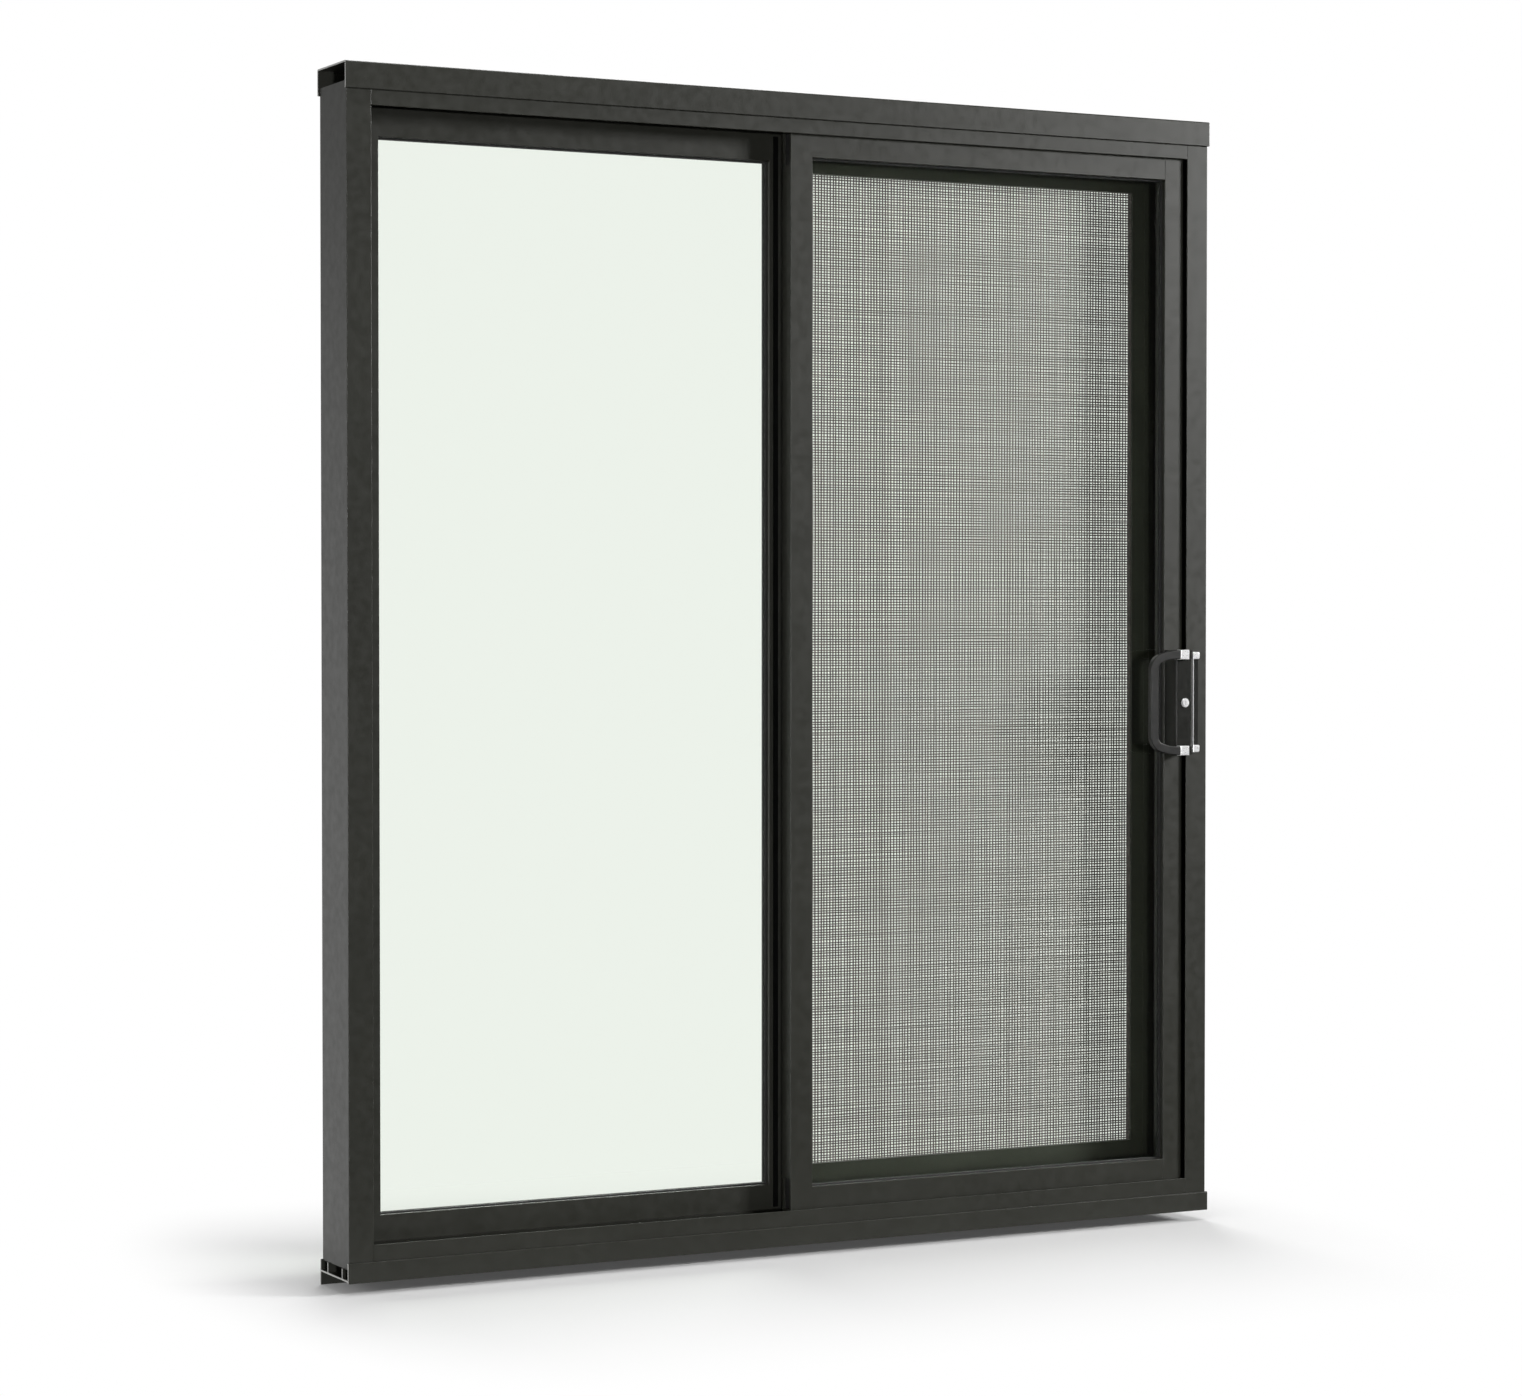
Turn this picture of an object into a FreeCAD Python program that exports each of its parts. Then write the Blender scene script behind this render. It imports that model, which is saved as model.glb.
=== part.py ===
"""Two-panel aluminium sliding patio door with an insect screen.

The origin is the middle of the sub sill's seat. +X runs to the right as seen from the room,
+Y goes out through the door and +Z is up. Lengths are in millimetres.
"""

import FreeCAD
import Part
import math
import os
import re
import Sketcher

SHEET = "Dims"

# Driving dimensions: alias, value
DIMENSIONS = [
    # Outer frame
    ("frame_width", 1810),
    ("frame_height", 2090),
    ("frame_depth", 128),
    ("frame_bottom", 21),
    ("frame_wall", 2.5),
    ("sill_wall", 3),
    ("lip", 47),
    ("head_lip", 41),
    ("sill_lip", 41.5),
    # Channels over and under the frame
    ("channel_length", 1816),
    ("channel_depth", 137),
    ("channel_wall", 3),
    ("channel_hook", 1.5),
    ("receptor_top", 2145),
    ("receptor_height", 47.5),
    ("receptor_rounding", 3),
    ("receptor_end_rounding", 2),
    ("sub_sill_front", 33),
    ("sub_sill_foot", 3),
    ("sub_sill_back", 22),
    ("drip_leg", 24),
    ("rib_front", -40),
    ("rib_back", 30),
    # Divider fins of the frame, by depth
    ("fin_room", -16),
    ("fin_room_wall", 3),
    ("fin_middle", 21),
    ("fin_outer", 50),
    ("fin_wall", 2),
    ("fin_room_height", 38),
    ("fin_outer_height", 47),
    ("sash_track_height", 15),
    ("screen_track_height", 40),
    ("track_wall", 3),
    # Sliding sash
    ("sash_left", -20),
    ("sash_right", 853),
    ("sash_bottom", 42),
    ("sash_top", 2088),
    ("sash_front", -56),
    ("sash_depth", 34),
    ("sash_left_stile", 46),
    ("sash_right_stile", 42),
    ("sash_opening_bottom", 103),
    ("sash_opening_top", 2028),
    ("profile_wall", 2),
    ("corner_rounding", 1.5),
    ("edge_rounding", 1),
    ("fine_rounding", 0.8),
    # Fixed panel
    ("fixed_front", -12),
    ("fixed_depth", 32),
    ("fixed_opening_left", -824),
    ("fixed_opening_right", -43),
    ("fixed_right", 3),
    ("fixed_opening_bottom", 106),
    ("fixed_opening_top", 2022),
    # Interlock strip between the two glazed panels
    ("interlock_base", 1.5),
    ("interlock_left", -36.5),
    ("interlock_right", 1),
    ("interlock_fin", -26),
    ("interlock_rise", 5),
    ("pile_width", 9),
    ("pile_rise", 3.5),
    ("interlock_bottom", 64),
    ("interlock_top", 2068),
    # Glazing
    ("glass_thickness", 6),
    ("glass_groove", 14),
    ("groove_width", 14),
    ("glass_bite", 10),
    ("gasket_sight", 3),
    # Rollers and guides of the sash
    ("guide_length", 80),
    ("guide_inset", 20),
    ("guide_top", 2086),
    ("roller_gap", 0.4),
    ("roller_radius", 14),
    ("roller_width", 8),
    ("carriage_bottom", 46),
    ("carriage_width", 22),
    ("recess_depth", 8),
    ("recess_front", -50),
    ("recess_back", -28),
    ("recess_low_bottom", 62),
    ("recess_low_top", 120),
    ("recess_high_bottom", 2013),
    ("recess_high_top", 2072),
    ("end_guide_low_bottom", 66),
    ("end_guide_low_top", 106),
    ("end_guide_high_bottom", 2028),
    ("end_guide_high_top", 2064),
    ("end_guide_front", -46.5),
    ("end_guide_wall", 3),
    ("end_guide_set_back", 4),
    ("end_block_left", -14),
    ("end_block_back", -25),
    # Insect screen
    ("screen_left", -30),
    ("screen_right", 855),
    ("screen_front", 30),
    ("screen_depth", 14),
    ("screen_member", 65),
    ("screen_bottom", 67),
    ("screen_top", 2074),
    ("screen_wall", 1.5),
    ("mesh_thickness", 0.8),
    ("mesh_bite", 6),
    ("spline_groove", 8),
    ("spline_width", 4),
    ("spline_sight", 1),
    ("pile_channel_lip", 4),
    ("pile_channel_width", 10),
    ("ridge_rise", 0.8),
    ("ridge_width", 3),
    ("outer_ridge", 22.5),
    ("inner_ridge", 34),
    ("screen_wheel_radius", 8),
    ("screen_wheel_width", 3),
    # Lock housing and pull
    ("lock_left", 814),
    ("lock_right", 850),
    ("lock_depth", 36.5),
    ("lock_left_rounding", 6),
    ("pull_bottom", 901),
    ("pull_top", 1106),
    ("pull_left", 750),
    ("pull_right", 844),
    ("pull_depth", 12),
    ("pull_width", 17),
    ("pull_rounding", 2),
    ("pull_sweep_radius", 120),
    ("pull_bend_radius", 22),
    ("pull_sweep_angle", 20),
    ("collar_left", 818),
    ("collar_right", 838),
    ("collar_proud", 1),
    ("cylinder_x", 836),
    ("cylinder_z", 1003),
    ("cylinder_radius", 9),
    ("plug_radius", 6.5),
    ("plug_clearance", 0.05),
    ("cylinder_length", 24),
    ("cylinder_proud", 2),
    ("plug_proud", 1),
    ("keyway_width", 1.6),
    ("keyway_height", 8),
    ("keyway_depth", 12),
    # Strike on the right jamb
    ("strike_left", 870),
    ("strike_right", 883),
    ("strike_bottom", 919),
    ("strike_top", 1088),
    ("strike_depth", 6),
    ("strike_edge_width", 1.5),
    ("strike_edge_depth", 6.5),
    ("strike_cap", 14.5),
    ("strike_cap_depth", 8),
    ("strike_cap_rounding", 4),
    ("strike_cap_overlap", 2),
    # Weep slots in the sill's outer lip
    ("weep_place", 600),
    ("weep_length", 30),
    ("weep_height", 5),
    ("weep_bottom", 27),
    ("cut_margin", 1),
]

NEAR = 1e-6
ALONG_X, ALONG_Y, ALONG_Z = range(3)

# Feature and size property of each way to take an edge off
EDGE_CUTS = {
    "round": ("PartDesign::Fillet", "Radius"),
    "flat": ("PartDesign::Chamfer", "Size"),
}


def make_sheet(doc):
    """The spreadsheet that holds every driving dimension."""
    sheet = doc.addObject("Spreadsheet::Sheet", SHEET)
    for row, (alias, value) in enumerate(DIMENSIONS, start=1):
        sheet.set(f"A{row}", alias)
        sheet.set(f"B{row}", str(value))
        sheet.setAlias(f"B{row}", alias)
    doc.recompute()
    return sheet


doc = FreeCAD.newDocument("patio_door")
dims = make_sheet(doc)
sub_parts = []

ALIASES = re.compile(r"\b(" + "|".join(alias for alias, _ in DIMENSIONS) + r")\b")


def named(text):
    """An expression with each alias written as a cell of the sheet."""
    return ALIASES.sub(rf"{SHEET}.\1", text)


def amount(text):
    """The number that an expression comes to."""
    result = dims.evalExpression(named(text))
    return float(getattr(result, "Value", result))


def origin_plane(body, role):
    return next(f for f in body.Origin.OriginFeatures if f.Role == role)


def add_loop(sketch, corners):
    """One closed straight-sided loop, each corner held by two driving distances."""
    first = sketch.GeometryCount
    count = len(corners)
    points = [FreeCAD.Vector(amount(x), amount(y), 0) for x, y in corners]
    for i in range(count):
        sketch.addGeometry(Part.LineSegment(points[i], points[(i + 1) % count]))
    for i in range(count):
        meeting = Sketcher.Constraint("Coincident", first + i, 2, first + (i + 1) % count, 1)
        sketch.addConstraint(meeting)
    for i, (x, y) in enumerate(corners):
        hold(sketch, "DistanceX", (first + i, 1), x)
        hold(sketch, "DistanceY", (first + i, 1), y)


def add_circle(sketch, x, y, radius):
    """One circle, held by its centre and radius."""
    centre = FreeCAD.Vector(amount(x), amount(y), 0)
    circle = Part.Circle(centre, FreeCAD.Vector(0, 0, 1), amount(radius))
    index = sketch.addGeometry(circle)
    hold(sketch, "DistanceX", (index, 3), x)
    hold(sketch, "DistanceY", (index, 3), y)
    hold(sketch, "Radius", (index,), radius)


def hold(sketch, kind, where, text):
    """A driving constraint bound to an expression of the sheet."""
    index = sketch.addConstraint(Sketcher.Constraint(kind, *where, amount(text)))
    sketch.setExpression(f"Constraints[{index}]", named(text))


def flat_sketch(body, name, role, offset):
    """An empty sketch at an offset from one of the body's origin planes."""
    sketch = body.newObject("Sketcher::SketchObject", name)
    sketch.AttachmentSupport = [(origin_plane(body, role), "")]
    sketch.MapMode = "FlatFace"
    sketch.setExpression("AttachmentOffset.Base.z", named(offset))
    return sketch


def outline_sketch(body, name, role, offset, outlines):
    """A sketch of loops: a list of corners is a polygon, and (x, y, radius) is a circle."""
    sketch = flat_sketch(body, name, role, offset)
    for outline in outlines:
        if isinstance(outline, tuple):
            add_circle(sketch, *outline)
        else:
            add_loop(sketch, outline)
    return sketch


def prism(label, role, outlines, start, length):
    """A body made by padding outlines from one of its origin planes."""
    body = doc.addObject("PartDesign::Body", label)
    body.Label = label
    sketch = outline_sketch(body, f"{label}_outline", role, start, outlines)
    pad = body.newObject("PartDesign::Pad", f"{label}_pad")
    pad.Profile = sketch
    pad.setExpression("Length", named(length))
    sketch.Visibility = False
    sub_parts.append(body)
    return body


def upright(label, outlines, bottom, height):
    """A section in X and Y, run up from bottom."""
    return prism(label, "XY_Plane", outlines, bottom, height)


def crosswise(label, outlines, left, width):
    """A section in Y and Z, run to the right from left."""
    return prism(label, "YZ_Plane", outlines, left, width)


def facing(label, outlines, front, depth):
    """A face outline in X and Z, from front back to front plus depth."""
    return prism(label, "XZ_Plane", outlines, f"-({front}) - ({depth})", depth)


def rectangle(left, right, bottom, top):
    return [(left, bottom), (right, bottom), (right, top), (left, top)]


def pocket(body, name, role, outlines, start, depth, reversed_side=False):
    """Cuts outlines out of a body, and makes sure that something was cut."""
    doc.recompute()
    before = body.Shape.Volume
    sketch = outline_sketch(body, f"{body.Label}_{name}_outline", role, start, outlines)
    cut = body.newObject("PartDesign::Pocket", f"{body.Label}_{name}")
    cut.Profile = sketch
    cut.Reversed = reversed_side
    cut.setExpression("Length", named(depth))
    sketch.Visibility = False
    doc.recompute()
    if body.Shape.Volume >= before - NEAR:
        raise RuntimeError(f"{body.Label}: {name} cuts nothing")


def cut_edges(body, name, size, chooses, cut):
    """Rounds or chamfers the edges whose end points a test chooses."""
    doc.recompute()
    base = body.Tip
    edges = []
    for number, edge in enumerate(base.Shape.Edges, start=1):
        if chooses([vertex.Point for vertex in edge.Vertexes]):
            edges.append(f"Edge{number}")
    if not edges:
        raise RuntimeError(f"{body.Label}: {name} finds no edge")
    kind, size_property = EDGE_CUTS[cut]
    feature = body.newObject(kind, f"{body.Label}_{name}")
    feature.Base = (base, edges)
    feature.setExpression(size_property, named(size))


def rounded(body, name, radius, axis, places):
    """Rounds the edges along one axis that pass through the given places.

    Args:
        body: the body, whose last feature holds the edges.
        name: the feature's name after the body's own.
        radius: an expression.
        axis: ALONG_X, ALONG_Y or ALONG_Z.
        places: the other two coordinates of each edge, as expressions.
    """
    across = [index for index in (ALONG_X, ALONG_Y, ALONG_Z) if index != axis]
    wanted = [[amount(text) for text in place] for place in places]

    def lies_at(point, place):
        return all(abs(point[index] - value) < NEAR for index, value in zip(across, place))

    def chooses(points):
        return any(all(lies_at(point, place) for point in points) for place in wanted)

    cut_edges(body, name, radius, chooses, "round")


def eased_face(body, name, size, depth, cut="round"):
    """Rounds or chamfers every edge that lies in the upright plane at one depth."""
    value = amount(depth)

    def chooses(points):
        return all(abs(point.y - value) < NEAR for point in points)

    cut_edges(body, name, size, chooses, cut)


def eased(body, edge, face, toward, bottom, top):
    """Takes the front corner off an upright edge, between two heights only.

    Args:
        body: a stile.
        edge: the edge's X.
        face: the edge's Y.
        toward: "" where the glass lies on the higher side, "-" where it lies on the lower.
        bottom: lower end of the eased length.
        top: upper end of the eased length.
    """
    size = "edge_rounding"
    corner = [
        (f"{edge} - {toward}{size}", face),
        (f"{edge} + {toward}{size}", f"{face} - {size}"),
        (edge, f"{face} + {size}"),
    ]
    pocket(body, "easing", "XY_Plane", [corner], bottom, f"{top} - ({bottom})", reversed_side=True)


def block(label, left, right, bottom, top, front, back):
    """A box between six driving planes."""
    box = doc.addObject("Part::Box", label)
    sides = (
        ("Length", "x", left, right),
        ("Width", "y", front, back),
        ("Height", "z", bottom, top),
    )
    for side, axis, low, high in sides:
        box.setExpression(side, named(f"({high}) - ({low})"))
        box.setExpression(f"Placement.Base.{axis}", named(low))
    return box


def wheel(label, x, z, radius, front, width):
    """A disc on an axle that runs in and out, from front back by width."""
    disc = doc.addObject("Part::Cylinder", label)
    disc.setExpression("Radius", named(radius))
    disc.setExpression("Height", named(width))
    disc.Placement.Rotation = FreeCAD.Rotation(FreeCAD.Vector(1, 0, 0), -90)
    for axis, text in (("x", x), ("y", front), ("z", z)):
        disc.setExpression(f"Placement.Base.{axis}", named(text))
    return disc


def kept(label, item):
    """Marks a finished object as a sub-part, under the name of its piece."""
    item.Label = label
    sub_parts.append(item)
    return item


def joined(label, pieces):
    """Several solids as one sub-part: fused where they meet, separate where they don't."""
    fuse = doc.addObject("Part::MultiFuse", label)
    fuse.Shapes = pieces
    return kept(label, fuse)


def step_file_name(body):
    return os.path.join("parts", f"{body.Label}.step")


# Frame

BACK = "frame_depth / 2"
FRONT = "-frame_depth / 2"
LIP_FACES = (FRONT, f"{FRONT} + frame_wall", BACK, f"{BACK} - frame_wall")


def comb(wall, front_lip, back_lip, ribs):
    """The open frame section as (depth, rise) corners: a web with fins standing on it.

    Args:
        wall: thickness of the web.
        front_lip: rise of the lip on the room side.
        back_lip: rise of the outer lip.
        ribs: (start, thickness, rise) of each fin between them, from the outer side inwards.
    """
    corners = [(FRONT, "0"), (BACK, "0"), (BACK, back_lip)]
    corners += [(f"{BACK} - frame_wall", back_lip), (f"{BACK} - frame_wall", wall)]
    for start, thickness, rise in ribs:
        far = f"{start} + {thickness}"
        corners += [(far, wall), (far, rise), (start, rise), (start, wall)]
    corners += [(f"{FRONT} + frame_wall", wall), (f"{FRONT} + frame_wall", front_lip)]
    corners += [(FRONT, front_lip)]
    return corners


def centred(middle, wall):
    return f"{middle} - {wall} / 2"


SASH_MIDDLE = "sash_front + sash_depth / 2"
SCREEN_MIDDLE = "screen_front + screen_depth / 2"

FINS = [
    ("fin_outer", "fin_wall", "fin_outer_height"),
    ("fin_middle", "fin_wall", "fin_outer_height"),
    ("fin_room", "fin_room_wall", "fin_room_height"),
]

SILL_FINS = [
    ("fin_outer", "fin_wall", "screen_track_height"),
    (centred(SCREEN_MIDDLE, "fin_wall"), "fin_wall", "screen_track_height"),
    ("fin_middle", "fin_wall", "fin_room_height"),
    ("fin_room", "fin_room_wall", "fin_room_height"),
    (centred(SASH_MIDDLE, "track_wall"), "track_wall", "sash_track_height"),
]


def frame_members():
    clear = "frame_width / 2 - lip"
    head = comb("frame_wall", "head_lip", "head_lip", FINS)
    head_corners = [(depth, f"frame_bottom + frame_height - ({rise})") for depth, rise in head]
    head_body = crosswise("frame_head", [head_corners], f"-({clear})", f"2 * ({clear})")
    head_edge = "frame_bottom + frame_height - head_lip"
    lips = [(depth, head_edge) for depth in LIP_FACES]
    rounded(head_body, "lips", "edge_rounding", ALONG_X, lips)
    sill = comb("sill_wall", "sill_lip", "sill_lip", SILL_FINS)
    sill_corners = [(depth, f"frame_bottom + {rise}") for depth, rise in sill]
    sill_body = crosswise("frame_sill", [sill_corners], f"-({clear})", f"2 * ({clear})")
    sill_edge = "frame_bottom + sill_lip"
    lips = [(depth, sill_edge) for depth in LIP_FACES]
    rounded(sill_body, "lips", "edge_rounding", ALONG_X, lips)
    rail = centred(SASH_MIDDLE, "track_wall")
    rail_top = "frame_bottom + sash_track_height"
    rail_edges = [(rail, rail_top), (f"{rail} + track_wall", rail_top)]
    rounded(sill_body, "track", "edge_rounding", ALONG_X, rail_edges)
    weep_slots(sill_body)
    jamb = comb("frame_wall", "lip", "lip", FINS)
    for label, sign in (("left_jamb", "-"), ("right_jamb", "")):
        corners = [(f"{sign}(frame_width / 2 - ({rise}))", depth) for depth, rise in jamb]
        body = upright(label, [corners], "frame_bottom", "frame_height")
        lip = f"{sign}({clear})"
        lips = [(lip, depth) for depth in LIP_FACES]
        rounded(body, "lips", "fine_rounding", ALONG_Z, lips)
        outer = f"{sign}(frame_width / 2)"
        rounded(body, "corners", "edge_rounding", ALONG_Z, [(outer, FRONT), (outer, BACK)])
        jamb_notch(body)


def weep_slots(sill):
    """Two slots that let rain out through the sill's outer lip."""
    slots = []
    for place in ("-weep_place", "weep_place"):
        sides = (f"{place} - weep_length / 2", f"{place} + weep_length / 2")
        slots.append(rectangle(*sides, "weep_bottom", "weep_bottom + weep_height"))
    inside = f"{BACK} - frame_wall - cut_margin"
    depth = "frame_wall + 2 * cut_margin"
    pocket(sill, "weep_slots", "XZ_Plane", slots, f"-({inside})", depth)


def jamb_notch(body):
    """The front lip of a jamb is cut back where it stands inside the head receptor."""
    bottom = "receptor_top - receptor_height + 2 * channel_wall"
    sides = ("-frame_width", "frame_width")
    room = rectangle(*sides, f"{FRONT} - cut_margin", f"{FRONT} + frame_wall")
    pocket(body, "notch", "XY_Plane", [room], bottom, "frame_height", reversed_side=True)


def head_receptor():
    """A folded channel that grips the head of the frame, with a hook inside its room side."""
    half = "channel_depth / 2"
    inner = f"{half} - channel_wall"
    low = "receptor_top - receptor_height"
    corners = [
        (f"-{half}", low),
        (f"-({inner}) + channel_hook", low),
        (f"-({inner}) + channel_hook", f"{low} + channel_wall / 2"),
        (f"-({inner})", f"{low} + channel_wall / 2"),
        (f"-({inner})", "receptor_top - channel_wall"),
        (inner, "receptor_top - channel_wall"),
        (inner, low),
        (half, low),
        (half, "receptor_top"),
        (f"-{half}", "receptor_top"),
    ]
    body = crosswise("head_receptor", [corners], "-channel_length / 2", "channel_length")
    top_edges = [(f"-{half}", "receptor_top"), (half, "receptor_top")]
    rounded(body, "top_edges", "receptor_rounding", ALONG_X, top_edges)
    rounded(body, "low_edges", "edge_rounding", ALONG_X, [(f"-{half}", low), (half, low)])
    right_end = [("channel_length / 2", f"-{half}")]
    rounded(body, "right_end", "receptor_end_rounding", ALONG_Z, right_end)


def sub_sill():
    """The channel under the frame: room upstand, seat with two ribs, outer upstand, drip leg."""
    half = "channel_depth / 2"
    inner = f"{half} - channel_wall"
    corners = [
        (f"-{half}", "-sub_sill_foot"),
        (f"-({inner})", "-sub_sill_foot"),
        (f"-({inner})", "0"),
        (inner, "0"),
        (inner, "-drip_leg"),
        (half, "-drip_leg"),
        (half, "sub_sill_back"),
        (inner, "sub_sill_back"),
        (inner, "channel_wall"),
        ("rib_back + channel_wall", "channel_wall"),
        ("rib_back + channel_wall", "frame_bottom"),
        ("rib_back", "frame_bottom"),
        ("rib_back", "channel_wall"),
        ("rib_front + channel_wall", "channel_wall"),
        ("rib_front + channel_wall", "frame_bottom"),
        ("rib_front", "frame_bottom"),
        ("rib_front", "channel_wall"),
        (f"-({inner})", "channel_wall"),
        (f"-({inner})", "sub_sill_front - channel_wall / 2"),
        (f"-({inner}) + channel_hook", "sub_sill_front - channel_wall / 2"),
        (f"-({inner}) + channel_hook", "sub_sill_front"),
        (f"-{half}", "sub_sill_front"),
    ]
    body = crosswise("sub_sill", [corners], "-channel_length / 2", "channel_length")
    rounded(body, "top_edge", "corner_rounding", ALONG_X, [(f"-{half}", "sub_sill_front")])
    far_edges = [(f"-{half}", "-sub_sill_foot"), (half, "-drip_leg"), (half, "sub_sill_back")]
    rounded(body, "far_edges", "edge_rounding", ALONG_X, far_edges)


# Glazed panels


GLASS_FIT = ("profile_wall", "glass_groove", "groove_width")
SCREEN_FIT = ("screen_wall", "spline_groove", "(mesh_thickness + spline_width)")


def grooved_edge(outer, inner, front, depth, toward, fit):
    """The outline of a stile or rail, with the glazing groove in its inner edge.

    Args:
        outer: coordinate of the edge away from the glass.
        inner: coordinate of the edge beside the glass.
        front: depth of the room face.
        depth: thickness of the panel.
        toward: "" where the glass lies on the higher side, "-" where it lies on the lower.
        fit: wall thickness, groove depth and groove width.
    """
    _, groove, width = fit
    middle = f"{front} + {depth} / 2"
    floor = f"{inner} - {toward}{groove}"
    back = f"{front} + {depth}"
    return [
        (outer, front),
        (inner, front),
        (inner, f"{middle} - {width} / 2"),
        (floor, f"{middle} - {width} / 2"),
        (floor, f"{middle} + {width} / 2"),
        (inner, f"{middle} + {width} / 2"),
        (inner, back),
        (outer, back),
    ]


def tube_section(outer, inner, front, depth, toward, fit=GLASS_FIT):
    """A closed tube with a glazing groove, as its outline and its chamber."""
    wall, groove, _ = fit
    near = f"{outer} + {toward}{wall}"
    far = f"{inner} - {toward}{groove} - {toward}{wall}"
    front_wall, back_wall = f"{front} + {wall}", f"{front} + {depth} - {wall}"
    chamber = [(near, front_wall), (far, front_wall), (far, back_wall), (near, back_wall)]
    return [grooved_edge(outer, inner, front, depth, toward, fit), chamber]


def open_section(outer, inner, front, depth, toward, fit=GLASS_FIT):
    """A rail that is open on its outer edge, with the glazing groove on the other."""
    wall, groove, _ = fit
    floor = f"{inner} - {toward}{groove} - {toward}{wall}"
    front_wall, back_wall = f"{front} + {wall}", f"{front} + {depth} - {wall}"
    hollow = [(outer, back_wall), (floor, back_wall), (floor, front_wall), (outer, front_wall)]
    return [grooved_edge(outer, inner, front, depth, toward, fit) + hollow]


def flipped(outlines):
    """The same outlines with the two coordinates changed over."""
    return [[(second, first) for first, second in corners] for corners in outlines]


def glazing(name, left, right, bottom, top, front, depth):
    """The glass, and the gasket that wraps its edge and shows as a thin line round it."""
    middle = f"{front} + {depth} / 2"

    def grown(by):
        return rectangle(f"{left} - {by}", f"{right} + {by}", f"{bottom} - {by}", f"{top} + {by}")

    glass_front = f"{middle} - glass_thickness / 2"
    facing(f"{name}_glass", [grown("glass_bite")], glass_front, "glass_thickness")
    ring = [grown("glass_groove"), grown("-gasket_sight")]
    gasket = facing(f"{name}_gasket", ring, f"{middle} - groove_width / 2", "groove_width")
    seat = [grown("glass_bite")]
    pocket(gasket, "glass_seat", "XZ_Plane", seat, f"-({glass_front})", "glass_thickness")


def sash_panel():
    """The sliding sash: tube stiles with rails between them that are open outwards."""
    front, depth = "sash_front", "sash_depth"
    left = "sash_left + sash_left_stile"
    right = "sash_right - sash_right_stile"
    low, high = "sash_opening_bottom", "sash_opening_top"
    height = "sash_top - sash_bottom"
    section = tube_section("sash_left", left, front, depth, "")
    stile = upright("sash_left_stile", section, "sash_bottom", height)
    for end in ("low", "high"):
        mouth = rectangle("recess_front", "recess_back", f"recess_{end}_bottom", f"recess_{end}_top")
        reach = "sash_left + recess_depth"
        pocket(stile, f"{end}_recess", "YZ_Plane", [mouth], reach, "2 * recess_depth")
    back = f"{front} + {depth}"
    outer_edges = [("sash_left", front), ("sash_left", back)]
    rounded(stile, "outer_edges", "edge_rounding", ALONG_Z, outer_edges)
    eased(stile, left, front, "", low, high)
    section = tube_section("sash_right", right, front, depth, "-")
    stile = upright("sash_right_stile", section, "sash_bottom", height)
    right_edges = [("sash_right", front), ("sash_right", back), (right, front)]
    rounded(stile, "edges", "edge_rounding", ALONG_Z, right_edges)
    width = f"({right}) - ({left})"
    section = open_section("sash_bottom", low, front, depth, "")
    rail = crosswise("sash_bottom_rail", flipped(section), left, width)
    rounded(rail, "edge", "edge_rounding", ALONG_X, [(front, low)])
    section = open_section("sash_top", high, front, depth, "-")
    rail = crosswise("sash_top_rail", flipped(section), left, width)
    rounded(rail, "edge", "edge_rounding", ALONG_X, [(front, high)])
    glazing("sash", left, right, low, high, front, depth)


def sash_hardware():
    """Guides in the top rail, roller carriages in the bottom one, and the stile's end pieces."""
    left = "sash_left + sash_left_stile"
    right = "sash_right - sash_right_stile"
    front, back = "sash_front + profile_wall", "sash_front + sash_depth - profile_wall"
    low_floor = "sash_opening_bottom - glass_groove - profile_wall"
    high_floor = "sash_opening_top + glass_groove + profile_wall"
    places = (
        ("left", f"{left} + guide_inset", f"{left} + guide_inset + guide_length"),
        ("right", f"{right} - guide_inset - guide_length", f"{right} - guide_inset"),
    )
    guides, rollers = [], []
    for side, start, end in places:
        guides.append(block(f"top_guide_{side}", start, end, high_floor, "guide_top", front, back))
        rollers.append(roller_carriage(side, start, end, low_floor))
    joined("sash_top_guides", guides)
    joined("sash_rollers", rollers)
    plates, blocks = [], []
    inner = f"{left} - glass_groove - profile_wall"
    outer = "sash_left + end_guide_set_back"
    front, back = "end_guide_front", "end_guide_front + end_guide_wall"
    for end in ("low", "high"):
        bottom, top = f"end_guide_{end}_bottom", f"end_guide_{end}_top"
        plates.append(block(f"{end}_plate", outer, inner, bottom, top, front, back))
        bottom, top = f"recess_{end}_bottom", f"recess_{end}_top"
        sides = ("end_block_left", inner, bottom, top, back, "end_block_back")
        blocks.append(block(f"{end}_block", *sides))
    joined("sash_end_guides", plates)
    joined("sash_end_blocks", blocks)


def roller_carriage(side, start, end, top):
    """A carriage under the rail's floor, with the wheel that runs on the sash track."""
    front, back = f"{SASH_MIDDLE} - carriage_width / 2", f"{SASH_MIDDLE} + carriage_width / 2"
    carriage = block(f"carriage_{side}", start, end, "carriage_bottom", top, front, back)
    middle = f"({start} + {end}) / 2"
    axle = "frame_bottom + sash_track_height + roller_gap + roller_radius"
    wheel_front = f"{SASH_MIDDLE} - roller_width / 2"
    disc = wheel(f"wheel_{side}", middle, axle, "roller_radius", wheel_front, "roller_width")
    fuse = doc.addObject("Part::Fuse", f"roller_{side}")
    fuse.Base = carriage
    fuse.Tool = disc
    return fuse


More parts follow.
